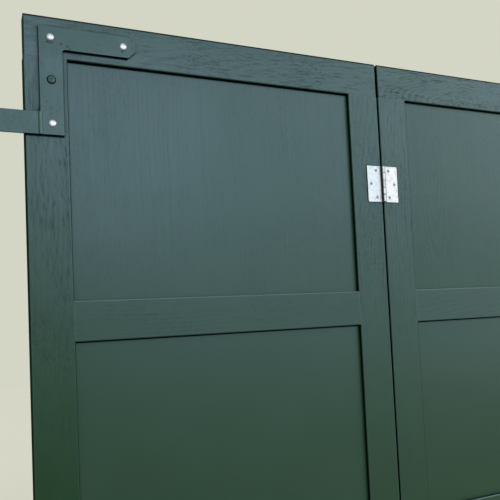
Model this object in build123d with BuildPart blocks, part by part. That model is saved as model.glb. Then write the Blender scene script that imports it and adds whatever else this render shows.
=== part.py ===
"""A pair of folding panelled shutters in painted timber, hung from the wall on welded flat-bar straps.

Axes: X runs along the wall to the right, Y runs into the wall, Z is up. The origin is the middle of the
lower pintle's bolt holes on the wall plane, straight behind the axis on which the whole pair swings.
The outer faces of the leaves look along -Y.
"""
import os
from math import sqrt

from build123d import *

os.makedirs("parts", exist_ok=True)

# Leaf
leaf_width = 748.0
leaf_thickness = 32.0
leaf_gap = 4.0
wall_gap = 12.0
stile_width = 75.0
end_rail_height = 75.0
middle_rail_height = 72.0
opening_heights = [435.0, 417.0, 435.0]
opening_names = ["lower", "middle", "upper"]
recess = 9.0
arris = 1.5
rail_end_setback = 1.0

# Joinery
groove_depth = 12.0
panel_insertion = 10.0
joint_clearance = 0.1
panel_clearance = 0.2
middle_tenon_length = 45.0
middle_tenon_height = 46.0
end_tenon_length = 50.0
end_tenon_width = 42.0
end_tenon_inset = 16.0
mortise_end_clearance = 1.0

# Meeting edges: a tongue on the right leaf lies in a rebate behind the left leaf's lip
lip_thickness = 16.0
rebate_width = 10.0
tongue_overlap = 8.0
tongue_face_gap = 0.5

# Straps
bar_width = 40.0
bar_thickness = 5.0
strap_inset_side = 26.0
strap_inset_end = 20.0
strap_height = 196.0
upper_arm_length = 173.0
arm_corner_cut = 13.0
weld_corner_radius = 5.0
weld_bead_height = 1.6
weld_bead_width = 7.0
eye_overhang = 72.0
eye_wrap_gap = 2.5

# Pintles
pin_radius = 7.0
pin_running_clearance = 0.08
pin_length_above_eye = 9.0
pin_end_chamfer = 1.5
collar_radius = 12.0
collar_height = 4.0
elbow_radius = 15.0
collar_from_bend = 3.0
wall_plate_width = 60.0
wall_plate_height = 110.0
wall_plate_thickness = 6.0
wall_plate_corner = 5.0
wall_hole_radius = 4.5
wall_hole_spacing_x = 36.0
wall_hole_spacing_z = 80.0
shank_weld = 3.0

# Strap fixings
bolt_radius = 3.0
bolt_head_radius = 6.6
bolt_head_height = 3.2
bolt_neck_side = 6.0
bolt_end_stand = 1.5
fixing_clearance = 0.05
neck_clearance = 0.1
washer_radius = 9.0
washer_thickness = 1.6
nut_across_flats = 10.0
nut_height = 5.0
arm_bolt_from_edge = 176.0
head_rim = 0.6
screw_head_radius = 7.2
screw_head_height = 3.0
screw_shank_radius = 2.6
screw_length = 24.0
screw_tip_length = 5.0
screw_recess = (1.3, 5.6, 1.5)
screw_tip_radius = 0.3
strap_screw_from_end = 117.0

# Folding hinges
hinge_height = 80.0
hinge_half_width = 40.0
hinge_from_rail = 198.0
hinge_plate_thickness = 2.0
barrel_radius = 4.5
hinge_pin_radius = 2.5
hinge_pin_clearance = 0.06
hinge_pin_end_chamfer = 0.4
knuckle_count = 5
knuckle_end_clearance = 0.3
knuckle_side_clearance = 0.6
hinge_plate_corner = 1.5
hinge_screw_spots = [(16.5, 30.0), (31.0, 0.0), (16.5, -30.0)]
hinge_screw_head_radius = 3.7
hinge_screw_radius = 2.0
hinge_screw_length = 20.0
hinge_screw_tip_length = 4.0
hinge_screw_recess = (0.9, 4.2, 1.2)

# Places that follow from the sizes above
eye_radius = pin_radius + pin_running_clearance
eye_outer_radius = eye_radius + bar_thickness
back_y = -wall_gap
front_y = back_y - leaf_thickness
middle_y = (front_y + back_y) / 2
strap_face_y = front_y - bar_thickness
swing_y = front_y - eye_outer_radius
panel_thickness = leaf_thickness - 2 * recess
groove_width = panel_thickness + 2 * panel_clearance
tenon_thickness = groove_width - 2 * joint_clearance
leaf_height = sum(opening_heights) + 2 * end_rail_height + (len(opening_heights) - 1) * middle_rail_height
eye_bottom_z = elbow_radius + collar_from_bend + collar_height
eye_middle_z = eye_bottom_z + bar_width / 2
strap_reach = strap_height - bar_width / 2 + strap_inset_end
leaf_bottom = eye_middle_z - strap_reach
leaf_top = leaf_bottom + leaf_height
upper_pintle_z = leaf_top - strap_reach - eye_middle_z
left_leaf_x = eye_overhang
right_leaf_x = left_leaf_x + leaf_width + leaf_gap
fold_x = left_leaf_x + leaf_width + leaf_gap / 2
fold_y = front_y - barrel_radius
hinge_from_end = end_rail_height + hinge_from_rail
hinge_heights = {"top": leaf_top - hinge_from_end, "bottom": leaf_bottom + hinge_from_end}
opening_width = leaf_width - 2 * stile_width

openings = []
opening_floor = leaf_bottom + end_rail_height
for opening_height in opening_heights:
    openings.append((opening_floor, opening_floor + opening_height))
    opening_floor += opening_height + middle_rail_height


def keep(part, name):
    """Names one piece and writes it out."""
    part.label = name
    export_step(part, f"parts/{name}.step")


def strap_spots(end):
    """Bolt and screw centres of one strap in X and Z, from the leaf's end edge inwards."""
    edge, inward = (leaf_top, -1) if end == "top" else (leaf_bottom, 1)
    upright_x = left_leaf_x + strap_inset_side + bar_width / 2
    arm_z = edge + inward * (strap_inset_end + bar_width / 2)
    bolts = [
        (upright_x, arm_z),
        (left_leaf_x + arm_bolt_from_edge, arm_z),
        (upright_x, edge + inward * strap_reach),
    ]
    return bolts, (upright_x, edge + inward * strap_screw_from_end)


all_bolts = strap_spots("top")[0] + strap_spots("bottom")[0]
all_strap_screws = [strap_spots("top")[1], strap_spots("bottom")[1]]


def round_hole(x, z, radius, from_y, to_y):
    """Drills a round hole along Y out of the piece being built."""
    with Locations((x, (from_y + to_y) / 2, z)):
        Cylinder(radius, to_y - from_y, rotation=(90, 0, 0), mode=Mode.SUBTRACT)


def round_bar(x, z, radius, from_y, to_y):
    """Adds a round bar along Y to the piece being built."""
    with Locations((x, (from_y + to_y) / 2, z)):
        Cylinder(radius, to_y - from_y, rotation=(90, 0, 0))


def taper(x, z, near_radius, far_radius, from_y, to_y, mode=Mode.ADD):
    """Adds or cuts a cone along Y whose radius runs from the near to the far one."""
    with Locations((x, (from_y + to_y) / 2, z)):
        Cone(near_radius, far_radius, to_y - from_y, rotation=(-90, 0, 0), mode=mode)


def cross_recess(x, z, face_y, width, span, depth):
    """Cuts a screwdriver's cross into a screw head of the piece being built."""
    with Locations((x, face_y + depth / 2, z)):
        Box(width, depth, span, mode=Mode.SUBTRACT)
        Box(span, depth, width, mode=Mode.SUBTRACT)


def hinge_screw_centres(side):
    """Centres in X and Z of the folding hinges' screws on the left (-1) or right (+1) leaf."""
    return [(fold_x + side * dx, z + dz) for z in hinge_heights.values() for dx, dz in hinge_screw_spots]


def drill_for_fixings(from_x, to_x):
    """Cuts the bolt and screw holes that fall between two X values out of the piece being built."""
    low_x, high_x = min(from_x, to_x), max(from_x, to_x)
    for x, z in all_bolts:
        if low_x < x < high_x:
            round_hole(x, z, bolt_radius + fixing_clearance, front_y, back_y)
    for x, z in all_strap_screws:
        if low_x < x < high_x:
            depth = screw_length - bar_thickness
            round_hole(x, z, screw_shank_radius + fixing_clearance, front_y, front_y + depth)
    for x, z in hinge_screw_centres(-1) + hinge_screw_centres(1):
        if low_x < x < high_x:
            depth = hinge_screw_length - hinge_plate_thickness
            round_hole(x, z, hinge_screw_radius + fixing_clearance, front_y, front_y + depth)


def make_stile(leaf_x, hand, meeting):
    """One upright. hand +1 has the panels on its right, -1 on its left; meeting is lip, tongue or None."""
    outer_x = leaf_x if hand > 0 else leaf_x + leaf_width
    inner_x = outer_x + hand * stile_width
    low, high = openings[0][0], openings[-1][1]
    length = high - low
    with BuildPart() as stile:
        with BuildSketch(Plane.XY.offset(low)):
            with Locations(((outer_x + inner_x) / 2, middle_y)):
                Rectangle(stile_width, leaf_thickness)
            if meeting == "tongue":
                tongue_front = front_y + lip_thickness + tongue_face_gap
                tongue_depth = back_y - tongue_front
                reach = leaf_gap + tongue_overlap
                with Locations((outer_x - reach / 2, back_y - tongue_depth / 2)):
                    Rectangle(reach, tongue_depth)
            if meeting == "lip":
                rebate_depth = leaf_thickness - lip_thickness
                with Locations((outer_x - rebate_width / 2, back_y - rebate_depth / 2)):
                    Rectangle(rebate_width, rebate_depth, mode=Mode.SUBTRACT)
            with Locations((inner_x - hand * groove_depth / 2, middle_y)):
                Rectangle(groove_depth, groove_width, mode=Mode.SUBTRACT)
        extrude(amount=length)
        # Tenons up into the top rail and down into the bottom rail
        tenon_x = outer_x + hand * (end_tenon_inset + end_tenon_width / 2)
        with BuildSketch(Plane.XY.offset(low - end_tenon_length)):
            with Locations((tenon_x, middle_y)):
                Rectangle(end_tenon_width, tenon_thickness)
        extrude(amount=length + 2 * end_tenon_length)
        # Mortises for the middle rails
        for (_, rail_low), (rail_high, _) in zip(openings, openings[1:]):
            depth = middle_tenon_length + mortise_end_clearance
            with Locations((inner_x - hand * depth / 2, middle_y, (rail_low + rail_high) / 2)):
                Box(depth, groove_width, middle_tenon_height + 2 * joint_clearance, mode=Mode.SUBTRACT)
        # Eased edges: round each opening, and down the outer edge
        edges = [(inner_x, bottom, top) for bottom, top in openings] + [(outer_x, low, high)]
        for edge_x, bottom, top in edges:
            with BuildSketch(Plane.XY.offset(bottom)):
                back_edge_x = edge_x
                if edge_x == outer_x and meeting == "lip":
                    back_edge_x = outer_x - rebate_width
                if edge_x == outer_x and meeting == "tongue":
                    back_edge_x = outer_x - leaf_gap - tongue_overlap
                with Locations((edge_x, front_y), (back_edge_x, back_y)):
                    Rectangle(arris * sqrt(2), arris * sqrt(2), rotation=45)
            extrude(amount=top - bottom, mode=Mode.SUBTRACT)
        drill_for_fixings(outer_x, inner_x)
    return stile.part


def make_end_rail(leaf_x, end, meeting):
    """The rail across one end of a leaf; it covers the ends of both stiles."""
    outer_z = leaf_top if end == "top" else leaf_bottom
    inward = -1 if end == "top" else 1
    inner_z = outer_z + inward * end_rail_height
    left = leaf_x + rail_end_setback
    right = leaf_x + leaf_width - rail_end_setback
    tongue_front = front_y + lip_thickness + tongue_face_gap
    with BuildPart() as rail:
        with Locations(((left + right) / 2, middle_y, (outer_z + inner_z) / 2)):
            Box(right - left, leaf_thickness, end_rail_height)
        if meeting == "tongue":
            tongue_left = leaf_x - leaf_gap - tongue_overlap
            tongue_depth = back_y - tongue_front
            with Locations(((tongue_left + left) / 2, back_y - tongue_depth / 2, (outer_z + inner_z) / 2)):
                Box(left - tongue_left, tongue_depth, end_rail_height)
        if meeting == "lip":
            rebate_left = leaf_x + leaf_width - rebate_width
            rebate_depth = leaf_thickness - lip_thickness
            with Locations(((rebate_left + right) / 2, back_y - rebate_depth / 2, (outer_z + inner_z) / 2)):
                Box(right - rebate_left, rebate_depth, end_rail_height, mode=Mode.SUBTRACT)
        # Groove for the panel's edge and mortises for the stiles' tenons
        with Locations((leaf_x + leaf_width / 2, middle_y, inner_z - inward * groove_depth / 2)):
            Box(opening_width + 2 * groove_depth, groove_width, groove_depth, mode=Mode.SUBTRACT)
        mortise_depth = end_tenon_length + mortise_end_clearance
        tenon_offset = leaf_width / 2 - end_tenon_inset - end_tenon_width / 2
        for side in (-1, 1):
            x = leaf_x + leaf_width / 2 + side * tenon_offset
            with Locations((x, middle_y, inner_z - inward * mortise_depth / 2)):
                Box(end_tenon_width + 2 * joint_clearance, groove_width, mortise_depth, mode=Mode.SUBTRACT)
        # Eased edges along the opening, the outer edge and the two front corners
        for edge_z, start, stop in (
            (inner_z, leaf_x + stile_width, leaf_x + leaf_width - stile_width),
            (outer_z, left - rebate_width * 2, right),
        ):
            with BuildSketch(Plane.YZ.offset(start)):
                with Locations((front_y, edge_z), (back_y, edge_z)):
                    Rectangle(arris * sqrt(2), arris * sqrt(2), rotation=45)
            extrude(amount=stop - start, mode=Mode.SUBTRACT)
        back_left = leaf_x - leaf_gap - tongue_overlap if meeting == "tongue" else left
        back_right = leaf_x + leaf_width - rebate_width if meeting == "lip" else right
        with BuildSketch(Plane.XY.offset(min(inner_z, outer_z))):
            with Locations((left, front_y), (right, front_y), (back_left, back_y), (back_right, back_y)):
                Rectangle(arris * sqrt(2), arris * sqrt(2), rotation=45)
        extrude(amount=end_rail_height, mode=Mode.SUBTRACT)
        for x, z in all_bolts:
            if left < x < right and abs(z - (outer_z + inner_z) / 2) < end_rail_height / 2:
                round_hole(x, z, bolt_radius + fixing_clearance, front_y, back_y)
    return rail.part


def make_middle_rail(leaf_x, low, high):
    """A rail between the stiles, tenoned into both and grooved along both edges."""
    left = leaf_x + stile_width
    right = leaf_x + leaf_width - stile_width
    middle_x = leaf_x + leaf_width / 2
    middle_z = (low + high) / 2
    with BuildPart() as rail:
        with Locations((middle_x, middle_y, middle_z)):
            Box(opening_width, leaf_thickness, high - low)
        for edge_z, inward in ((low, 1), (high, -1)):
            with Locations((middle_x, middle_y, edge_z + inward * groove_depth / 2)):
                Box(opening_width, groove_width, groove_depth, mode=Mode.SUBTRACT)
        with Locations((middle_x, middle_y, middle_z)):
            Box(opening_width + 2 * middle_tenon_length, tenon_thickness, middle_tenon_height)
        with BuildSketch(Plane.YZ.offset(left)):
            with Locations([(y, z) for y in (front_y, back_y) for z in (low, high)]):
                Rectangle(arris * sqrt(2), arris * sqrt(2), rotation=45)
        extrude(amount=right - left, mode=Mode.SUBTRACT)
    return rail.part


def make_panel(leaf_x, low, high):
    """A flat board held loosely in the grooves round one opening; it stands on the lower groove's floor."""
    foot = low - groove_depth
    head = high + panel_insertion
    with BuildPart() as panel:
        with Locations((leaf_x + leaf_width / 2, middle_y, (foot + head) / 2)):
            Box(opening_width + 2 * panel_insertion, panel_thickness, head - foot)
    return panel.part


# Woodwork of both leaves
for leaf, leaf_x in (("left_leaf", left_leaf_x), ("right_leaf", right_leaf_x)):
    if leaf == "left_leaf":
        left_meeting, right_meeting = None, "lip"
        left_name, right_name = "hanging", "meeting"
    else:
        left_meeting, right_meeting = "tongue", None
        left_name, right_name = "meeting", "free"
    keep(make_stile(leaf_x, 1, left_meeting), f"{leaf}_{left_name}_stile")
    keep(make_stile(leaf_x, -1, right_meeting), f"{leaf}_{right_name}_stile")
    for end in ("top", "bottom"):
        keep(make_end_rail(leaf_x, end, left_meeting or right_meeting), f"{leaf}_{end}_rail")
    for rail_name, lower, upper in zip(("lower", "upper"), openings, openings[1:]):
        keep(make_middle_rail(leaf_x, lower[1], upper[0]), f"{leaf}_{rail_name}_middle_rail")
    for panel_name, (low, high) in zip(opening_names, openings):
        keep(make_panel(leaf_x, low, high), f"{leaf}_{panel_name}_panel")


def make_strap(end):
    """A flat-bar strap welded from an upright and two arms; the wall arm ends in an eye rolled outwards."""
    edge, inward = (leaf_top, -1) if end == "top" else (leaf_bottom, 1)
    left = left_leaf_x + strap_inset_side
    arm_z = edge + inward * (strap_inset_end + bar_width / 2)
    wall_arm_z = edge + inward * strap_reach
    upright_from = edge + inward * strap_inset_end
    upright_to = upright_from + inward * strap_height
    inner_corner = Vector(left + bar_width, front_y, arm_z + inward * bar_width / 2)
    bolts, screw = strap_spots(end)
    with BuildPart() as strap:
        # Upright and upper arm, with the arm's far end cut off at its corners
        with BuildSketch(Plane.XZ.offset(-front_y)):
            with Locations((left + bar_width / 2, (upright_from + upright_to) / 2)):
                Rectangle(bar_width, strap_height)
            with Locations((left + upper_arm_length / 2, arm_z)):
                Rectangle(upper_arm_length, bar_width)
            arm_end = left + upper_arm_length
            with Locations((arm_end, arm_z - bar_width / 2), (arm_end, arm_z + bar_width / 2)):
                Rectangle(arm_corner_cut * sqrt(2), arm_corner_cut * sqrt(2), rotation=45, mode=Mode.SUBTRACT)
        extrude(amount=bar_thickness)
        crosswise_edges = strap.edges().filter_by(Axis.Y)
        corner_edge = crosswise_edges.sort_by(lambda edge: (edge.center() - inner_corner).length)[0]
        fillet(corner_edge, weld_corner_radius)
        # Wall arm and its eye, drawn in plan and carried up through the bar's width
        with BuildSketch(Plane.XY.offset(wall_arm_z - bar_width / 2)):
            with Locations((left / 2, front_y - bar_thickness / 2)):
                Rectangle(left, bar_thickness)
            with Locations((0, swing_y)):
                Circle(eye_outer_radius)
                Circle(eye_radius, mode=Mode.SUBTRACT)
            # The rolled end stops short of the arm
            with Locations((eye_outer_radius - bar_thickness / 2, strap_face_y - eye_wrap_gap / 2)):
                Rectangle(bar_thickness * 2, eye_wrap_gap, mode=Mode.SUBTRACT)
        extrude(amount=bar_width)
        # Flat weld bead up the joint between the wall arm and the upright
        with BuildSketch(Plane.XY.offset(wall_arm_z - bar_width / 2)):
            with Locations((left, strap_face_y)):
                Ellipse(weld_bead_width / 2, weld_bead_height)
        extrude(amount=bar_width)
        for x, z in bolts:
            with Locations((x, front_y, z)):
                side = bolt_neck_side + 2 * neck_clearance
                Box(side, bar_thickness * 3, side, mode=Mode.SUBTRACT)
        round_hole(*screw, screw_shank_radius + fixing_clearance, strap_face_y, front_y)
    return strap.part


def make_pintle(plate_z):
    """A wall plate with a round pin welded on: it comes straight out, turns up and carries a collar."""
    with BuildPart() as pintle:
        with BuildSketch(Plane.XZ):
            with Locations((0, plate_z)):
                RectangleRounded(wall_plate_width, wall_plate_height, wall_plate_corner)
                with GridLocations(wall_hole_spacing_x, wall_hole_spacing_z, 2, 2):
                    Circle(wall_hole_radius, mode=Mode.SUBTRACT)
        extrude(amount=wall_plate_thickness)
        pin_top = plate_z + eye_bottom_z + bar_width + pin_length_above_eye
        with BuildLine() as course:
            FilletPolyline((0, 0, plate_z), (0, swing_y, plate_z), (0, swing_y, pin_top), radius=elbow_radius)
        with BuildSketch(Plane.XZ):
            with Locations((0, plate_z)):
                Circle(pin_radius)
        sweep(path=course.line)
        chamfer(pintle.edges().group_by(Axis.Z)[-1], pin_end_chamfer)
        # Collar under the eye
        with Locations((0, swing_y, plate_z + eye_bottom_z - collar_height / 2)):
            Cylinder(collar_radius, collar_height)
        # Weld round the shank where it leaves the plate
        weld_y = -wall_plate_thickness
        taper(0, plate_z, pin_radius, pin_radius + shank_weld, weld_y - shank_weld, weld_y)
    return pintle.part


for end, plate_z in (("top", upper_pintle_z), ("bottom", 0.0)):
    keep(make_strap(end), f"strap_{end}")
    keep(make_pintle(plate_z), f"pintle_{end}")


def make_hinge_plate(middle_z, side):
    """Half of a folding hinge with its knuckles; side -1 lies on the left leaf and has one knuckle more."""
    knuckle = hinge_height / knuckle_count
    own = [i for i in range(knuckle_count) if (i % 2 == 0) == (side < 0)]
    other = [i for i in range(knuckle_count) if i not in own]
    bottom = middle_z - hinge_height / 2
    with BuildPart() as plate:
        with BuildSketch(Plane.XZ.offset(-front_y)):
            with Locations((fold_x + side * hinge_half_width / 2, middle_z)):
                Rectangle(hinge_half_width, hinge_height)
        extrude(amount=hinge_plate_thickness)
        corners = plate.edges().filter_by(Axis.Y).sort_by(lambda edge: abs(edge.center().X - fold_x))
        fillet(corners[-2:], hinge_plate_corner)
        with BuildSketch(Plane.XY.offset(bottom)):
            with Locations((fold_x, fold_y)):
                Circle(barrel_radius)
        extrude(amount=hinge_height)
        with Locations((fold_x, fold_y, middle_z)):
            Cylinder(hinge_pin_radius + hinge_pin_clearance, hinge_height * 2, mode=Mode.SUBTRACT)
        # Room for the other half's knuckles
        for i in other:
            room = knuckle + knuckle_end_clearance
            width = 2 * (barrel_radius + knuckle_side_clearance)
            with Locations((fold_x, fold_y, bottom + (i + 0.5) * knuckle)):
                Box(width, width, room, mode=Mode.SUBTRACT)
        for dx, dz in hinge_screw_spots:
            x, z = fold_x + side * dx, middle_z + dz
            face_y = front_y - hinge_plate_thickness
            round_hole(x, z, hinge_screw_radius + fixing_clearance, face_y, front_y)
            seat_radius = hinge_screw_head_radius + fixing_clearance
            taper(x, z, seat_radius, hinge_screw_radius + fixing_clearance, face_y, front_y, Mode.SUBTRACT)
    return plate.part


def make_hinge_pin(middle_z):
    """The pin through a folding hinge's five knuckles, flush at both ends."""
    with BuildPart() as pin:
        with Locations((fold_x, fold_y, middle_z)):
            Cylinder(hinge_pin_radius, hinge_height)
        chamfer(pin.edges().filter_by(GeomType.CIRCLE), hinge_pin_end_chamfer)
    return pin.part


for end, middle_z in hinge_heights.items():
    keep(make_hinge_plate(middle_z, -1), f"hinge_{end}_left_plate")
    keep(make_hinge_plate(middle_z, 1), f"hinge_{end}_right_plate")
    keep(make_hinge_pin(middle_z), f"hinge_{end}_pin")


def domed_head(x, z, radius, height):
    """A low round head on the strap's face, drawn as half a section and turned about the fixing's axis."""
    section = Plane(origin=(x, strap_face_y, z), x_dir=(1, 0, 0), z_dir=(0, 0, 1))
    with BuildSketch(section) as half:
        with BuildLine():
            Polyline((0, -height), (0, 0), (radius, 0), (radius, -head_rim))
            EllipticalCenterArc((0, -head_rim), radius, height - head_rim, start_angle=-90, arc_size=90)
        make_face()
    revolve(half.sketch, axis=Axis((x, strap_face_y, z), (0, 1, 0)))


# Bolts: domed head outside the strap, square neck in it, thread end beyond the nut
nut_face_y = back_y + washer_thickness
bolt_end_y = nut_face_y + nut_height + bolt_end_stand
with BuildPart() as strap_bolts:
    for x, z in all_bolts:
        domed_head(x, z, bolt_head_radius, bolt_head_height)
        neck_length = bar_thickness - 1
        with Locations((x, strap_face_y + neck_length / 2, z)):
            Box(bolt_neck_side, neck_length, bolt_neck_side)
        round_bar(x, z, bolt_radius, strap_face_y, bolt_end_y)
keep(strap_bolts.part, "strap_bolts")

with BuildPart() as strap_washers:
    with BuildSketch(Plane.XZ.offset(-nut_face_y)):
        with Locations(all_bolts):
            Circle(washer_radius)
            Circle(bolt_radius + fixing_clearance, mode=Mode.SUBTRACT)
    extrude(amount=washer_thickness)
keep(strap_washers.part, "strap_washers")

with BuildPart() as strap_nuts:
    with BuildSketch(Plane.XZ.offset(-nut_face_y - nut_height)):
        with Locations(all_bolts):
            RegularPolygon(nut_across_flats / 2, 6, major_radius=False)
            Circle(bolt_radius + fixing_clearance, mode=Mode.SUBTRACT)
    extrude(amount=nut_height)
keep(strap_nuts.part, "strap_nuts")

with BuildPart() as strap_screws:
    for x, z in all_strap_screws:
        domed_head(x, z, screw_head_radius, screw_head_height)
        tip_y = strap_face_y + screw_length
        round_bar(x, z, screw_shank_radius, strap_face_y, tip_y - screw_tip_length)
        taper(x, z, screw_shank_radius, screw_tip_radius, tip_y - screw_tip_length, tip_y)
        top_y = strap_face_y - screw_head_height
        cross_recess(x, z, top_y, *screw_recess)
keep(strap_screws.part, "strap_screws")


def make_hinge_screws(side):
    """The countersunk screws of both folding hinges on one leaf, heads flush with the plates."""
    face_y = front_y - hinge_plate_thickness
    with BuildPart() as screws:
        for x, z in hinge_screw_centres(side):
            tip_y = face_y + hinge_screw_length
            taper(x, z, hinge_screw_head_radius, hinge_screw_radius, face_y, front_y)
            round_bar(x, z, hinge_screw_radius, face_y, tip_y - hinge_screw_tip_length)
            taper(x, z, hinge_screw_radius, screw_tip_radius, tip_y - hinge_screw_tip_length, tip_y)
            cross_recess(x, z, face_y, *hinge_screw_recess)
    return screws.part


keep(make_hinge_screws(-1), "hinge_screws_left")
keep(make_hinge_screws(1), "hinge_screws_right")
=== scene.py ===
import math
from typing import NamedTuple

import bpy
from mathutils import Matrix, Vector

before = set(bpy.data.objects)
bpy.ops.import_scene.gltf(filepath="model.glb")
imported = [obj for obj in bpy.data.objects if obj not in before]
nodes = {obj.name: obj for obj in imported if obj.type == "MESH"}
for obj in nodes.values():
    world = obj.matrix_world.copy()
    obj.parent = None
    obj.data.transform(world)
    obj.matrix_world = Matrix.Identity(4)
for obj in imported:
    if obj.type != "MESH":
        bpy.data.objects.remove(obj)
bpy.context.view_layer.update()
scene = bpy.context.scene


# Helpers for finishes

class Graph:
    """Short names for the nodes of one shader tree."""

    def __init__(self, tree):
        self.tree = tree

    def add(self, kind, **settings):
        node = self.tree.nodes.new(kind)
        for key, value in settings.items():
            setattr(node, key, value)
        return node

    def feed(self, socket, value):
        """Links a socket to another one, or sets it to a plain value."""
        if isinstance(value, bpy.types.NodeSocket):
            self.tree.links.new(value, socket)
        else:
            socket.default_value = value

    def math(self, operation, *values, clamp=False):
        node = self.add("ShaderNodeMath", operation=operation, use_clamp=clamp)
        for socket, value in zip(node.inputs, values):
            self.feed(socket, value)
        return node.outputs[0]

    def plus(self, a, b):
        return self.math("ADD", a, b)

    def minus(self, a, b):
        return self.math("SUBTRACT", a, b)

    def times(self, first, *others):
        for other in others:
            first = self.math("MULTIPLY", first, other)
        return first

    def largest(self, first, *others):
        for other in others:
            first = self.math("MAXIMUM", first, other)
        return first

    def total(self, *terms):
        """The sum of (value, weight) pairs."""
        parts = [self.times(value, weight) for value, weight in terms]
        result = parts[0]
        for part in parts[1:]:
            result = self.plus(result, part)
        return result

    def away(self, value, place):
        """How far a value is from a place on its axis, either way."""
        return self.math("ABSOLUTE", self.minus(value, place))

    def hypotenuse(self, a, b):
        return self.math("SQRT", self.plus(self.times(a, a), self.times(b, b)))

    def vector(self, operation, a, b):
        node = self.add("ShaderNodeVectorMath", operation=operation)
        self.feed(node.inputs[0], a)
        self.feed(node.inputs[1], b)
        return node.outputs["Value" if operation in ("DISTANCE", "DOT_PRODUCT") else "Vector"]

    def split(self, vector):
        node = self.add("ShaderNodeSeparateXYZ")
        self.feed(node.inputs[0], vector)
        return node.outputs

    def join(self, x, y, z):
        node = self.add("ShaderNodeCombineXYZ")
        for socket, value in zip(node.inputs, (x, y, z)):
            self.feed(socket, value)
        return node.outputs[0]

    def remap(self, value, low, high, to_low=0.0, to_high=1.0, smooth=True):
        node = self.add("ShaderNodeMapRange", interpolation_type="SMOOTHSTEP" if smooth else "LINEAR")
        for socket, number in zip(node.inputs, (value, low, high, to_low, to_high)):
            self.feed(socket, number)
        return node.outputs[0]

    def between(self, value, start, full, last, end):
        """Rises from 0 to 1 between start and full, and falls again between last and end."""
        return self.times(self.remap(value, start, full), self.remap(value, end, last))

    def mix(self, share, a, b):
        node = self.add("ShaderNodeMix", data_type="RGBA")
        self.feed(node.inputs[0], share)
        self.feed(node.inputs[6], a)
        self.feed(node.inputs[7], b)
        return node.outputs[2]

    def shown(self):
        """1 for the rays that show a surface as it is: camera, glossy and transmission rays."""
        path = self.add("ShaderNodeLightPath").outputs
        return self.largest(path["Is Camera Ray"], path["Is Glossy Ray"], path["Is Transmission Ray"])


class Finish(Graph):
    """A procedural finish on one surface: a Principled shader and the nodes that feed it."""

    def __init__(self, name, **sockets):
        self.material = bpy.data.materials.new(name)
        self.material.use_nodes = True
        super().__init__(self.material.node_tree)
        self.shader = next(node for node in self.tree.nodes if node.type == "BSDF_PRINCIPLED")
        for socket, value in sockets.items():
            self.feed(self.shader.inputs[socket.replace("_", " ")], value)
        coordinates = self.add("ShaderNodeTexCoord").outputs
        self.position = coordinates["Object"]
        self.normal = coordinates["Normal"]

    def noise(self, vector, scale, detail=2.0, rough=0.5, warp=0.0):
        """Noise from 0 to 1. scale is one number, or three for streaks, in cells per metre."""
        if isinstance(scale, tuple):
            vector = self.vector("MULTIPLY", vector, scale)
            scale = 1.0
        node = self.add("ShaderNodeTexNoise")
        self.feed(node.inputs["Vector"], vector)
        self.feed(node.inputs["Scale"], scale)
        self.feed(node.inputs["Detail"], detail)
        self.feed(node.inputs["Roughness"], rough)
        self.feed(node.inputs["Distortion"], warp)
        return node.outputs[0]

    def tilt(self, start, full):
        """0 to 1 as the normal's share through the leaf, either way, goes from start to full.

        That share is 1 on the front and the back, and 0 on faces that are edge-on to them.
        """
        return self.remap(self.math("ABSOLUTE", self.split(self.normal)[1]), start, full)

    def spot(self, place, radius, soft=0.4):
        """1 inside a round spot at a place in metres, 0 outside."""
        distance = self.vector("DISTANCE", self.position, place)
        return self.remap(distance, radius * (1 + soft), radius * (1 - soft))

    def rounded(self, radius):
        """The normal with the edges rounded."""
        node = self.add("ShaderNodeBevel", samples=4)
        self.feed(node.inputs["Radius"], radius)
        return node.outputs[0]

    def corners(self, reach, shut, open_):
        """1 in inside corners and narrow gaps, 0 on open surfaces."""
        node = self.add("ShaderNodeAmbientOcclusion", samples=6)
        self.feed(node.inputs["Distance"], reach)
        return self.remap(node.outputs["AO"], open_, shut)

    def rims(self, radius, inside):
        """1 along outside edges, 0 elsewhere. inside is the share of inside corners, which are left out."""
        flat = self.add("ShaderNodeNewGeometry").outputs["Normal"]
        bend = self.vector("DOT_PRODUCT", flat, self.rounded(radius))
        return self.times(self.remap(bend, 0.999, 0.98), self.minus(1.0, inside))

    def pits(self, colour, height, places, radius, tone, depth_mm):
        """Small round pits with a dark bottom, laid over a colour and a height."""
        for place in places:
            pit = self.spot(place, radius)
            colour = self.mix(pit, colour, tone)
            height = self.math("MULTIPLY_ADD", pit, -depth_mm, height)
        return colour, height

    def finish(self, colour, roughness, height_mm, edge_radius=0.0):
        """Joins colour, roughness and a height in millimetres to the shader."""
        self.feed(self.shader.inputs["Base Color"], colour)
        self.feed(self.shader.inputs["Roughness"], roughness)
        bump = self.add("ShaderNodeBump")
        self.feed(bump.inputs["Strength"], 1.0)
        self.feed(bump.inputs["Distance"], 0.001)
        self.feed(bump.inputs["Height"], height_mm)
        if edge_radius:
            self.feed(bump.inputs["Normal"], self.rounded(edge_radius))
        self.feed(self.shader.inputs["Normal"], bump.outputs[0])
        return self.material


def rgb(r, g, b):
    return (r, g, b, 1.0)


# Radius of the edges, in metres
TIMBER_EDGE = 0.0012
BAR_EDGE = 0.0010
SCREW_EDGE = 0.0004
ZINC_EDGE = 0.0004
GALVANISED_EDGE = 0.0008
# Reach of the painted highlight along outside edges
EDGE_HIGHLIGHT_RADIUS = 0.0035


def dress(material, slot, *names):
    for name in names:
        piece = nodes[name]
        piece.data.materials.clear()
        piece.data.materials.append(material)


# Paint

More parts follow.
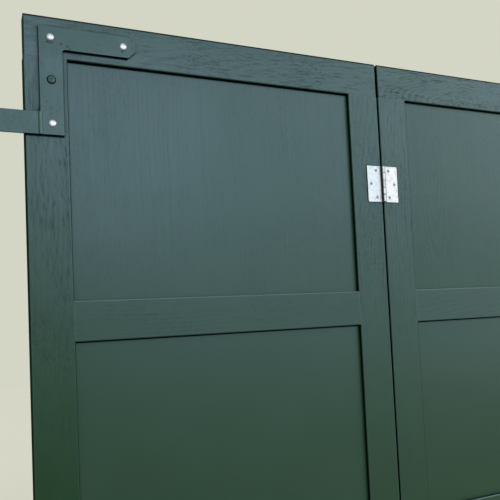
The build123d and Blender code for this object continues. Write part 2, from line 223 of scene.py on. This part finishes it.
PAINT = rgb(0.0112, 0.0355, 0.0105)
PAINT_DEEP = rgb(0.003, 0.010, 0.005)
PAINT_RUBBED = rgb(0.022, 0.055, 0.026)
# Painted highlight along outside edges, where the paint is also worn thin
PAINT_EDGE_HIGHLIGHT = rgb(0.055, 0.095, 0.080)
# Painted highlight on upper arrises and along the folding edge
PAINT_HIGHLIGHT = rgb(0.085, 0.110, 0.100)
# Paler bluish paint, partly a painted sheen
PAINT_BLOOM_AND_SHEEN = rgb(0.045, 0.070, 0.074)
PIT = rgb(0.004, 0.006, 0.005)
# Near-black for dirt and for painted shade
GRIME_AND_SHADE = rgb(0.001, 0.002, 0.003)
SHEEN = rgb(0.63, 0.74, 1.00)
GLOSS = 0.42


def weathered_with_painted_light(
        f, colour, reach=0.011, dark=0.9, deep=1.2, edge_highlight=0.38, shine=1.0, depth=None, painted_shade=None,
        matt=None):
    """Dirt and painted shade held in the inside corners, darkest on faces edge-on to the front, and a
    painted highlight along the outside edges, where the paint is also worn thin.

    reach is how far the darkening goes from a corner, dark its share and deep what edge-on faces add to it.
    rubbed is the share of the edge highlight, and shine the gloss of the clean paint. The last three are
    shares
    over the surface: depth dulls the low places, stained is painted shade, and matt is paint without gloss.
    """
    edge_on = f.tilt(0.5, 0.2)
    # Dirt and painted shade in the inside corners, darkest on edge-on faces such as the recess walls
    dirt_and_shade = f.corners(f.math("MULTIPLY_ADD", edge_on, 0.02 * deep, reach), shut=0.42, open_=0.80)
    shade_and_grime = f.math("MULTIPLY", dirt_and_shade, f.math("MULTIPLY_ADD", edge_on, deep, dark), clamp=True)
    if painted_shade is not None:
        shade_and_grime = f.largest(shade_and_grime, painted_shade)
    dull = shade_and_grime if matt is None else f.largest(shade_and_grime, matt)
    gloss = f.math("MULTIPLY_ADD", dull, -GLOSS * shine, GLOSS * shine)
    if depth is not None:
        gloss = f.times(gloss, f.math("MULTIPLY_ADD", depth, -0.6, 1.0, clamp=True))
    f.feed(f.shader.inputs["Specular IOR Level"], gloss)
    # Painted highlight along the outside edges
    rim = f.rims(EDGE_HIGHLIGHT_RADIUS, shade_and_grime)
    return f.mix(f.times(rim, edge_highlight), f.mix(shade_and_grime, colour, GRIME_AND_SHADE), PAINT_EDGE_HIGHLIGHT)


# Painted boards. Places are in metres, in the frame of the CAD model.

class Board(NamedTuple):
    """One board's paint: the axis of the grain, the board's centre line across it, the place across and
    along round which the growth rings run, and the weights of pores, brush marks, rings and gloss."""
    along: str
    middle: float
    heart: tuple
    grain: float
    streaks: float
    rings: float
    shine: float


BOARDS = {
    "left_leaf_hanging_stile": Board("z", 0.1095, (-0.012, 1.13), 0.9, 1.0, 0.5, 0.92),
    "left_leaf_meeting_stile": Board("z", 0.7825, (0.06, 0.75), 0.6, 0.9, 0.4, 0.95),
    "left_leaf_top_rail": Board("x", 1.3895, (-0.05, 0.95), 0.7, 1.0, 0.5, 1.02),
    "left_leaf_upper_middle_rail": Board("x", 0.881, (0.05, 0.3), 0.25, 0.35, 0.2, 0.98),
    "left_leaf_lower_middle_rail": Board("x", 0.392, (-0.06, 0.6), 0.25, 0.35, 0.2, 1.0),
    "left_leaf_bottom_rail": Board("x", -0.1165, (0.05, 0.4), 0.7, 1.1, 0.8, 1.0),
    "left_leaf_upper_panel": Board("z", 0.446, (-0.27, 1.2), 0.2, 0.35, 0.18, 0.985),
    "left_leaf_middle_panel": Board("z", 0.446, (0.12, 0.5), 0.12, 0.18, 0.12, 1.0),
    "left_leaf_lower_panel": Board("z", 0.446, (-0.1, 0.1), 0.12, 0.18, 0.12, 1.0),
    "right_leaf_meeting_stile": Board("z", 0.8615, (0.07, 1.0), 0.6, 0.9, 0.4, 0.97),
    "right_leaf_free_stile": Board("z", 1.5345, (-0.05, 0.7), 0.45, 0.8, 0.7, 1.0),
    "right_leaf_top_rail": Board("x", 1.3895, (-0.034, 1.02), 0.8, 1.1, 0.9, 1.0),
    "right_leaf_upper_middle_rail": Board("x", 0.881, (-0.05, 1.3), 0.25, 0.35, 0.25, 1.0),
    "right_leaf_lower_middle_rail": Board("x", 0.392, (0.05, 1.1), 0.25, 0.35, 0.2, 1.0),
    "right_leaf_bottom_rail": Board("x", -0.1165, (-0.05, 1.3), 0.7, 1.1, 0.8, 1.0),
    "right_leaf_upper_panel": Board("z", 1.198, (-0.22, 1.25), 0.2, 0.3, 0.3, 0.85),
    "right_leaf_middle_panel": Board("z", 1.198, (-0.05, 0.75), 0.12, 0.18, 0.12, 0.98),
    "right_leaf_lower_panel": Board("z", 1.198, (0.1, 0.0), 0.12, 0.18, 0.12, 1.0),
}

# Growth rings run as ovals: length over width, and the distance from ring to ring
RINGS = (7.0, 0.0085)
ROUND_RINGS = {"right_leaf_top_rail": (3.0, 0.0058)}

# Share of dirt and painted shade in the corners of the panels and of the frames
PANEL_DIRT_AND_SHADE = 0.15
FRAME_DIRT_AND_SHADE = 0.9

# A line of painted shade along the joint over each panel and along the leaf's upper edge: the heights where
# it begins and is full
SHADE_LINE_HEIGHTS = {
    "upper_panel": (1.3485, 1.3505),
    "middle_panel": (0.8410, 0.8430),
    "lower_panel": (0.3520, 0.3540),
    "top_rail": (1.4226, 1.4246),
}
SHADE_LINE_SHARE = 0.95

# Lines of painted shadow under the straps' arms, beside the hinges and along the stiles' inner edges at the
# openings: left, right, bottom, top and share. They go through to the back of the board.
OPENINGS = ((0.9170, 1.3520), (0.4280, 0.8450), (-0.0790, 0.3560))
PAINTED_SHADOW_LINES = {
    "left_leaf_hanging_stile": [
        (0.060, 0.138, 1.2070, 1.2110, 0.9),
        (0.138, 0.160, 1.3630, 1.3670, 0.9),
        (0.060, 0.098, 0.0180, 0.0220, 0.9),
        *((0.1460, 0.1490, low, high, 0.6) for low, high in OPENINGS),
    ],
    "left_leaf_top_rail": [
        (0.138, 0.256, 1.3630, 1.3670, 0.9),
    ],
    "right_leaf_meeting_stile": [
        (0.8620, 0.8645, 1.1120, 1.1940, 0.9),
        (0.8620, 0.8645, 0.0770, 0.1590, 0.9),
        *((0.8974, 0.9010, low, high, 0.7) for low, high in OPENINGS),
    ],
}

# The side of the left leaf that faces the pintles is matt. On the hanging stile it also carries painted
# shade, and this stile loses part of its gloss towards the foot.
MATT_SIDED = (
    "left_leaf_hanging_stile", "left_leaf_top_rail", "left_leaf_upper_middle_rail",
    "left_leaf_lower_middle_rail", "left_leaf_bottom_rail")
SHADED_SIDE = "left_leaf_hanging_stile"
DULL_FOOT = "left_leaf_hanging_stile"

# Paler bluish paint at the left leaf's upper corner, partly a painted sheen; a painted highlight along the
# edge at the folding side; and painted highlights on the upper arrises of the middle and bottom rails of
# both leaves
PALE_CORNER = ("left_leaf_hanging_stile", "left_leaf_top_rail")
HIGHLIGHTED_EDGE = ("left_leaf_meeting_stile", "left_leaf_top_rail")
HIGHLIGHT_FROM = 0.8185
HIGHLIGHTED_SILLS = ("middle_rail", "bottom_rail")

PITS = {"left_leaf_meeting_stile": [(0.761, -0.044, 0.469)]}


def growth_rings(f, place, across, run, drift, wander, heart, shape):
    """Dark late wood in ovals round the heart, broken up along the board."""
    oval, pitch = shape
    side = f.plus(f.minus(across, heart[0]), wander)
    length = f.times(f.minus(run, heart[1]), 1 / oval)
    phase = f.math("MULTIPLY_ADD", f.hypotenuse(side, length), 2 * math.pi / pitch, f.times(drift, 9.0))
    ring = f.math("POWER", f.math("MULTIPLY_ADD", f.math("SINE", phase), 0.5, 0.5), 2.5)
    return f.times(ring, f.remap(f.noise(place, (26.0, 26.0, 7.0)), 0.36, 0.62, 0.1, 1.0))


def open_pores(f, place, bent):
    """Short dark dashes along the grain, in patches."""
    pores = f.remap(f.noise(bent, (290.0, 290.0, 38.0)), 0.46, 0.33)
    fine = f.remap(f.noise(bent, (520.0, 520.0, 70.0)), 0.46, 0.30)
    patch = f.remap(f.noise(place, (11.0, 11.0, 2.6)), 0.30, 0.62, 0.35, 1.0)
    return f.times(f.largest(pores, f.times(fine, 0.7)), patch)


def brushed_ripple(f, place):
    """Short ripples that the brush left, in patches."""
    wavy = f.remap(f.noise(place, (9.0, 9.0, 5.0), 1.0), 0.44, 0.60)
    ripple = f.remap(f.noise(place, (300.0, 300.0, 190.0), 1.0, 0.5, 0.8), 0.52, 0.36)
    return f.times(ripple, wavy)


def painted_shade_on(f, name):
    """The share of painted shade on a board, or None where it has none."""
    x, _, z = f.split(f.position)
    shares = []
    # Painted shade line over each panel and along the top edge
    joint = SHADE_LINE_HEIGHTS.get(name.split("_", 2)[2])
    if joint:
        shares.append(f.times(f.remap(z, *joint, 0.0, SHADE_LINE_SHARE), f.tilt(0.3, 0.6)))
    # Painted shade on the hanging stile's side towards the pintles
    if name == SHADED_SIDE:
        shares.append(f.remap(f.split(f.normal)[0], -0.3, -0.7, 0.0, 0.3))
    for left, right, bottom, top, share in PAINTED_SHADOW_LINES.get(name, ()):
        across = f.between(x, left - 0.001, left, right, right + 0.001)
        upward = f.between(z, bottom, bottom + 0.0015, top, top + 0.0005)
        shares.append(f.times(across, upward, share))
    return f.largest(*shares) if shares else None


def matt_on(f, name):
    """The share of paint without gloss on a board, or None where it all shines."""
    if name not in MATT_SIDED:
        return None
    matt = f.remap(f.split(f.normal)[0], -0.3, -0.7)
    if name == DULL_FOOT:
        matt = f.largest(matt, f.remap(f.split(f.position)[2], 0.92, 0.55, 0.0, 0.48, smooth=False))
    return matt


def painted_board(name, board, seed):
    """Satin paint over timber, with the grain raised under it."""
    f = Finish("paint_" + name, Specular_Tint=SHEEN)
    x, y, z = f.split(f.position)
    across, run = (x, z) if board.along == "z" else (z, x)
    across = f.minus(across, board.middle)
    place = f.vector("ADD", f.join(across, y, run), (seed * 1.7, seed * 0.9, seed * 2.3))
    drift = f.minus(f.noise(place, (14.0, 14.0, 2.2)), 0.5)
    wander = f.times(drift, 0.016)
    bent = f.vector("ADD", place, f.join(wander, 0.0, 0.0))

    ring = growth_rings(f, place, across, run, drift, wander, board.heart, ROUND_RINGS.get(name, RINGS))
    dash = open_pores(f, place, bent)
    ripple = brushed_ripple(f, place)
    brush = f.noise(bent, (330.0, 330.0, 4.5))
    film = f.noise(place, 420.0)
    cloud = f.noise(place, 5.5, 3.0)

    depth = f.total(
        (dash, 0.50 * board.grain), (ring, 0.40 * board.rings), (ripple, 0.50 * board.grain),
        (f.minus(brush, 0.5), 0.40 * board.streaks))
    if board.along == "z":
        # Upright boards are smoother towards the foot
        depth = f.times(depth, f.remap(z, 0.72, 1.12, 0.30, 1.0))
    colour = f.mix(f.math("ADD", depth, 0.04, clamp=True), PAINT, PAINT_DEEP)
    colour = f.mix(f.times(f.remap(cloud, 0.35, 0.75), 0.16), colour, PAINT_RUBBED)
    # Paler bluish paint at the upper corner, partly a painted sheen
    if name in PALE_CORNER:
        corner = f.times(f.remap(x, 0.170, 0.082), f.remap(z, 1.26, 1.35))
        uneven = f.remap(f.noise(place, (150.0, 150.0, 40.0), 3.0), 0.36, 0.62, 0.25, 1.0)
        colour = f.mix(f.times(corner, uneven, 0.52), colour, PAINT_BLOOM_AND_SHEEN)

    roughness = f.plus(f.total((cloud, 0.10), (dash, 0.10 * board.grain), (brush, 0.06)), 0.30)
    height = f.total(
        (dash, -0.10 * board.grain), (ring, -0.10 * board.rings), (ripple, -0.05 * board.grain),
        (brush, 0.08 * board.streaks), (film, 0.010), (cloud, 0.5))

    dark = PANEL_DIRT_AND_SHADE if name.endswith("panel") else FRAME_DIRT_AND_SHADE
    colour = weathered_with_painted_light(
        f, colour, dark=dark, shine=board.shine, depth=depth, painted_shade=painted_shade_on(f, name),
        matt=matt_on(f, name))
    # Painted highlight on the upper arrises
    if name.endswith(HIGHLIGHTED_SILLS):
        arris = f.between(f.split(f.normal)[2], 0.35, 0.6, 0.85, 0.95)
        colour = f.mix(f.times(arris, 0.8), colour, PAINT_HIGHLIGHT)
    # Painted highlight along the edge at the folding side
    if name in HIGHLIGHTED_EDGE:
        colour = f.mix(f.remap(x, HIGHLIGHT_FROM, HIGHLIGHT_FROM + 0.0006), colour, PAINT_HIGHLIGHT)
    colour, height = f.pits(colour, height, PITS.get(name, ()), radius=0.0022, tone=PIT, depth_mm=0.6)
    return f.finish(colour, roughness, height, TIMBER_EDGE)


for seed, (name, board) in enumerate(BOARDS.items(), 1):
    slot = "panels" if name.endswith("panel") else "stiles_and_rails"
    dress(painted_board(name, board, seed), slot, name)


# Painted straps. They mirror each other about the middle of the leaf. The arm to the pintle and its weld
# seam are measured from the painted screw.

LEAF_MIDDLE = 0.6365
SCREW_ACROSS = 0.118
SCREW_FROM_MIDDLE = 0.6735
ARM_CENTRE = -0.079
ARM_HALF_WIDTH = 0.0200
WELD_SEAM = -0.020
PALE_PATCH = (0.121, -0.049, 1.338)
CRUMBS = (
    (0.147, -0.049, 1.374), (0.151, -0.049, 1.369), (0.136, -0.049, 1.377), (0.1125, -0.049, 1.3785),
    (0.1165, -0.049, 1.3770), (0.1205, -0.049, 1.3780), (0.2460, -0.049, 1.3780))


def painted_bar(name, face, rough, rim, pale, edge):
    """The same paint on flat bar, without grain.

    The flanks carry painted shade up to the depth of the face, but hardly at the arm to the pintle. A
    painted shadow ring lies round the screw, of radius rim. pale is the share of paler bluish paint, partly
    a painted sheen, and rough the least roughness.
    """
    f = Finish(name, Specular_Tint=SHEEN)
    x, y, z = f.split(f.position)
    x = f.minus(x, SCREW_ACROSS)
    z = f.minus(f.away(z, LEAF_MIDDLE), SCREW_FROM_MIDDLE)
    brush = f.noise(f.position, (260.0, 260.0, 40.0))
    film = f.noise(f.position, 300.0)
    scale = f.remap(f.noise(f.position, 160.0, 3.0, 0.6), 0.60, 0.72)
    cloud = f.noise(f.position, 24.0)
    bloom_and_sheen = f.remap(f.noise(f.position, 21.0), 0.54, 0.70)

    arm = f.remap(f.away(z, ARM_CENTRE), ARM_HALF_WIDTH, ARM_HALF_WIDTH - 0.001)
    seam = f.times(arm, f.remap(f.away(x, WELD_SEAM), 0.0030, 0.0012))
    # Painted shade on the flanks below the face and a painted shadow ring round the screw
    below_face = f.remap(y, face, face + 0.0003, 0.0, 0.92)
    shaded_flank = f.times(f.tilt(0.6, 0.3), below_face, f.math("MULTIPLY_ADD", arm, -0.9, 1.0))
    ring = f.between(f.hypotenuse(x, z), rim - 0.0008, rim, rim + 0.0004, rim + 0.0012)
    uneven = f.remap(f.noise(f.position, (90.0, 90.0, 40.0), 3.0), 0.35, 0.65, 0.3, 1.0)
    patch = f.times(f.spot(PALE_PATCH, radius=0.020, soft=0.9), uneven)

    colour = f.mix(f.times(scale, 0.5), PAINT, PAINT_DEEP)
    colour = f.mix(f.times(cloud, 0.25), colour, PAINT_RUBBED)
    # Paler bluish paint in clouds, partly a painted sheen
    colour = f.mix(f.math("MULTIPLY_ADD", bloom_and_sheen, 0.14, pale), colour, PAINT_BLOOM_AND_SHEEN)
    # Painted highlight along the weld seam
    colour = f.mix(f.times(seam, 0.45), colour, PAINT_EDGE_HIGHLIGHT)
    # Paler bluish patch on the upright, partly a painted sheen
    colour = f.mix(f.times(patch, 0.40), colour, PAINT_BLOOM_AND_SHEEN)
    roughness = f.plus(f.total((cloud, 0.12), (scale, 0.1)), rough)
    height = f.total((brush, 0.10), (film, 0.05), (scale, -0.10), (cloud, 0.5))
    colour, height = f.pits(colour, height, CRUMBS, radius=0.0016, tone=GRIME_AND_SHADE, depth_mm=0.4)
    colour = weathered_with_painted_light(
        f, colour, reach=0.005, dark=0.3, deep=0.0, edge_highlight=0.15, shine=0.92,
        painted_shade=f.largest(shaded_flank, f.times(ring, 0.9)))
    return f.finish(colour, roughness, height, edge)


straps = painted_bar("paint_straps", face=-0.0490, rough=0.30, rim=0.0074, pale=0.02, edge=BAR_EDGE)
strap_screws = painted_bar(
    "paint_strap_screws", face=-0.0600, rough=0.36, rim=0.0066, pale=0.35, edge=SCREW_EDGE)

dress(straps, "painted_iron", "strap_top", "strap_bottom")
dress(strap_screws, "painted_iron", "strap_screws")


# Bare metal

ZINC_SPECK = rgb(0.21, 0.23, 0.25)
# Near-black for dirt and painted shade on the zinc
ZINC_DIRT_AND_SHADE = rgb(0.010, 0.012, 0.014)

# The hinges' knuckles: their length, the foot of the lower and of the upper hinge, a height between the
# two, the depths where the round of the knuckles begins, and where the right plate leaves it
KNUCKLE = 0.016
LOWER_HINGE = 0.079
UPPER_HINGE = 1.114
BETWEEN_HINGES = 0.6
KNUCKLE_DEPTHS = (-0.0478, -0.0488)
PLATE_BEND = 0.8292


def knuckle_joints(f, y, z):
    """The dark joints between the knuckles of both hinges."""
    upper = f.math("GREATER_THAN", z, BETWEEN_HINGES)
    foot = f.math("MULTIPLY_ADD", upper, UPPER_HINGE - LOWER_HINGE, LOWER_HINGE)
    along = f.math("FRACT", f.math("DIVIDE", f.minus(z, foot), KNUCKLE))
    joint = f.remap(f.away(along, 0.5), 0.42, 0.46)
    return f.times(joint, f.remap(y, *KNUCKLE_DEPTHS), 0.8)


def zinc(
        name, tone, dull, rough, blotch, metallic=1.0, reach=0.003, shaded_flank=None, flank_shade=1.0, line=None,
        knuckles=False):
    """Bright zinc plating with cloudy, duller patches, worn scratches, and a grey, grimy darkening in the
    corners that is partly painted shade.

    dull is the weight of the patches, blotch how many there are to the metre, and reach how far the corner
    darkening goes. Faces that turn towards flank get painted shade by the share grime, and line is the
    place across of an upright line of painted shade.
    """
    f = Finish(name, Metallic=metallic)
    x, y, z = f.split(f.position)
    cloud = f.noise(f.position, blotch, 3.0, 0.6, 0.6)
    patch = f.remap(cloud, 0.45, 0.75)
    speck = f.remap(f.noise(f.position, 430.0, 3.0, 0.7), 0.52, 0.68)
    rub = f.noise(f.position, (900.0, 900.0, 60.0))
    # Dirt and painted shade in the corners, painted shade on faces turned towards the flank direction and
    # along an upright line, and the knuckles' dark joints
    dirt_and_shade = f.corners(reach, shut=0.45, open_=0.85)
    if shaded_flank:
        toward = f.vector("DOT_PRODUCT", f.normal, shaded_flank)
        dirt_and_shade = f.largest(dirt_and_shade, f.remap(toward, 0.20, 0.55, 0.0, flank_shade))
    if line:
        dirt_and_shade = f.largest(dirt_and_shade, f.remap(f.away(x, line), 0.0022, 0.0012, 0.0, 0.85))
    if knuckles:
        dirt_and_shade = f.largest(dirt_and_shade, knuckle_joints(f, y, z))

    dull_tone = rgb(tone[0] * 0.66, tone[1] * 0.71, tone[2] * 0.75)
    colour = f.mix(f.times(patch, dull), tone, dull_tone)
    colour = f.mix(f.times(speck, 0.62), colour, ZINC_SPECK)
    colour = f.mix(f.times(dirt_and_shade, 0.94), colour, ZINC_DIRT_AND_SHADE)
    f.feed(f.shader.inputs["Specular IOR Level"], f.math("MULTIPLY_ADD", dirt_and_shade, -0.4, 0.45))
    roughness = f.plus(f.total((patch, 0.12), (speck, 0.12), (rub, 0.08)), rough)
    height = f.total((cloud, 0.08), (rub, 0.010), (speck, -0.02))
    return f.finish(colour, roughness, height, ZINC_EDGE)


# The hinges have painted shade on their faces turned towards -x
left_plates = zinc(
    "zinc_hinge_left", rgb(0.490, 0.495, 0.487), dull=0.9, rough=0.50, blotch=140.0, metallic=0.4,
    reach=0.0035, shaded_flank=(-0.65, 0, 0), knuckles=True)
right_plates = zinc(
    "zinc_hinge_right", rgb(0.555, 0.530, 0.500), dull=0.8, rough=0.50, blotch=140.0, metallic=0.4,
    reach=0.0035, shaded_flank=(-0.65, 0, 0), line=PLATE_BEND, knuckles=True)
# The bolt heads have painted shade on their lower side
bolts = zinc(
    "zinc_bolts", rgb(0.50, 0.53, 0.56), dull=0.2, rough=0.28, blotch=140.0, metallic=0.7,
    shaded_flank=(0.45, 0, -0.89), flank_shade=0.5)
back_fixings = zinc("zinc_back_fixings", rgb(0.60, 0.61, 0.62), dull=0.6, rough=0.34, blotch=140.0)
hinge_screws = zinc("zinc_hinge_screws", rgb(0.23, 0.23, 0.23), dull=0.8, rough=0.45, blotch=260.0)

dress(left_plates, "zinc_hinges", "hinge_top_left_plate", "hinge_bottom_left_plate")
dress(left_plates, "zinc_hinges", "hinge_top_pin", "hinge_bottom_pin")
dress(right_plates, "zinc_hinges", "hinge_top_right_plate", "hinge_bottom_right_plate")
dress(bolts, "zinc_fixings", "strap_bolts")
dress(back_fixings, "zinc_fixings", "strap_nuts", "strap_washers")
dress(hinge_screws, "zinc_fixings", "hinge_screws_left", "hinge_screws_right")


def galvanised(name):
    """Hot-dip zinc: a faint spangle, dull grey, darker where the weather has worn it."""
    f = Finish(name, Metallic=0.9)
    cells = f.add("ShaderNodeTexVoronoi")
    f.feed(cells.inputs["Vector"], f.position)
    f.feed(cells.inputs["Scale"], 170.0)
    grain = f.split(cells.outputs["Color"])[0]
    cloud = f.noise(f.position, 35.0, 4.0, 0.6)
    drip = f.remap(f.noise(f.position, (120.0, 120.0, 14.0), 3.0), 0.55, 0.75)
    fine = f.noise(f.position, 600.0)
    colour = f.mix(grain, rgb(0.36, 0.37, 0.38), rgb(0.52, 0.53, 0.54))
    colour = f.mix(f.times(f.remap(cloud, 0.45, 0.75), 0.6), colour, rgb(0.24, 0.24, 0.24))
    colour = f.mix(f.times(drip, 0.3), colour, rgb(0.60, 0.60, 0.58))
    roughness = f.plus(f.total((grain, 0.12), (cloud, 0.2)), 0.36)
    height = f.total((grain, 0.02), (cloud, 0.25), (fine, 0.04))
    return f.finish(colour, roughness, height, GALVANISED_EDGE)


dress(galvanised("galvanised_pintles"), "galvanised_iron", "pintle_top", "pintle_bottom")


# Floor

FLOOR_PLACE = (0.77, 0.0, -0.62)
FLOOR_RADIUS = 14.0
FLOOR_SIDES = 96
FLOOR_LIFT = rgb(0.370, 0.375, 0.324)


def plain_floor():
    """A round pale floor. The lift makes it as light as the background, a little more so far away."""
    mesh = bpy.data.meshes.new("floor")
    turns = [math.tau * number / FLOOR_SIDES for number in range(FLOOR_SIDES)]
    ring = [(FLOOR_RADIUS * math.cos(turn), FLOOR_RADIUS * math.sin(turn), 0) for turn in turns]
    mesh.from_pydata(ring, [], [tuple(range(FLOOR_SIDES))])
    floor = bpy.data.objects.new("floor", mesh)
    floor.location = FLOOR_PLACE
    scene.collection.objects.link(floor)
    f = Finish("floor_paint", Specular_IOR_Level=0.1)
    cloud = f.noise(f.position, 0.8)
    colour = f.mix(cloud, rgb(0.24, 0.23, 0.18), rgb(0.26, 0.25, 0.19))
    distance = f.vector("DISTANCE", f.position, (0.0, 0.0, 0.0))
    lift = f.times(f.shown(), f.remap(distance, 0.5, 6.5, 0.90, 1.19))
    f.feed(f.shader.inputs["Emission Color"], FLOOR_LIFT)
    f.feed(f.shader.inputs["Emission Strength"], lift)
    mesh.materials.append(f.finish(colour, 0.9, f.times(cloud, 0.1)))
    floor.visible_diffuse = False


plain_floor()


# Light. Camera, glossy and transmission rays meet the plain background, all others a soft surround that is
# lighter towards the lamps and lightest overhead.

BACKGROUND = rgb(0.66, 0.67, 0.56)
DARK_SIDE = rgb(0.24, 0.25, 0.23)
LIGHT_SIDE = rgb(0.42, 0.45, 0.48)
CEILING = rgb(1.30, 1.32, 1.34)
TO_LIGHT = (0.55, -0.83, 0.0)
UP = (0.0, 0.0, 1.0)

world = bpy.data.worlds.new("studio")
scene.world = world
world.use_nodes = True
sky = Graph(world.node_tree)
sky.tree.nodes.clear()
ray = sky.add("ShaderNodeTexCoord").outputs["Generated"]


def glow(direction, low, high):
    """0 to 1 as a ray turns towards a direction."""
    return sky.remap(sky.vector("DOT_PRODUCT", ray, direction), low, high)


def background(colour):
    node = sky.add("ShaderNodeBackground")
    sky.feed(node.inputs["Color"], colour)
    return node.outputs[0]


toward_lamps = sky.times(glow(TO_LIGHT, -0.7, 0.6), glow(UP, -0.15, 0.45))
surround = sky.mix(toward_lamps, DARK_SIDE, LIGHT_SIDE)
surround = sky.mix(glow(UP, 0.45, 0.85), surround, CEILING)
either = sky.add("ShaderNodeMixShader")
for socket, value in zip(either.inputs, (sky.shown(), background(surround), background(BACKGROUND))):
    sky.feed(socket, value)
sky.feed(sky.add("ShaderNodeOutputWorld").inputs["Surface"], either.outputs[0])

DAYLIGHT = (0.79, 0.91, 1.03)
SOFT_BOXES = {
    # place, aim, width, height and radiance
    "right_low_box": ((2.46, -2.6, 0.95), (0.95, -0.3, 0.95), 4.6, 1.2, 1.9),
    "right_high_box": ((2.46, -2.6, 2.45), (0.95, -0.3, 2.45), 4.6, 1.8, 4.0),
    "left_high_box": ((0.2, -3.0, 2.15), (0.5, -0.3, 2.15), 2.4, 1.2, 4.6),
    "back_low_box": ((0.8, 3.6, 0.8), (0.8, 0.0, 0.8), 7.0, 1.6, 1.1),
    "back_high_box": ((0.8, 3.6, 2.5), (0.8, 0.0, 1.4), 7.0, 1.8, 2.6),
}


def soft_box(name, place, aim, width, height, radiance):
    light = bpy.data.lights.new(name, "AREA")
    light.shape = "RECTANGLE"
    light.size = width
    light.size_y = height
    light.energy = radiance * math.pi * width * height
    light.color = DAYLIGHT
    lamp = bpy.data.objects.new(name, light)
    lamp.location = place
    direction = Vector(aim) - Vector(place)
    lamp.rotation_euler = direction.to_track_quat("-Z", "Y").to_euler()
    lamp.visible_camera = False
    scene.collection.objects.link(lamp)


for name, settings in SOFT_BOXES.items():
    soft_box(name, *settings)


# Camera. The focal length and the principal point are in pixels of the photo, the angles in radians.

PHOTO_SIDE = 500.0
SENSOR = 36.0
FOCAL = 616.676
PRINCIPAL = (250.0, 277.5)
EYE = (-0.016294, -1.162019, 0.884532)
YAW, PITCH, ROLL = 0.42369, 0.05496, 0.04591

camera_data = bpy.data.cameras.new("camera")
camera_data.sensor_width = SENSOR
camera_data.lens = FOCAL * SENSOR / PHOTO_SIDE
camera_data.shift_x = 0.5 - PRINCIPAL[0] / PHOTO_SIDE
camera_data.shift_y = PRINCIPAL[1] / PHOTO_SIDE - 0.5
camera_data.clip_start = 0.01
camera_data.clip_end = 100.0
camera = bpy.data.objects.new("camera", camera_data)
ahead = Vector((math.sin(YAW) * math.cos(PITCH), math.cos(YAW) * math.cos(PITCH), math.sin(PITCH)))
level = Vector((math.cos(YAW), -math.sin(YAW), 0.0))
down = ahead.cross(level)
right = level * math.cos(ROLL) + down * math.sin(ROLL)
down = down * math.cos(ROLL) - level * math.sin(ROLL)
turn = Matrix((right, -down, -ahead)).transposed()
camera.matrix_world = Matrix.Translation(EYE) @ turn.to_4x4()
scene.collection.objects.link(camera)
scene.camera = camera

scene.view_settings.view_transform = "Standard"
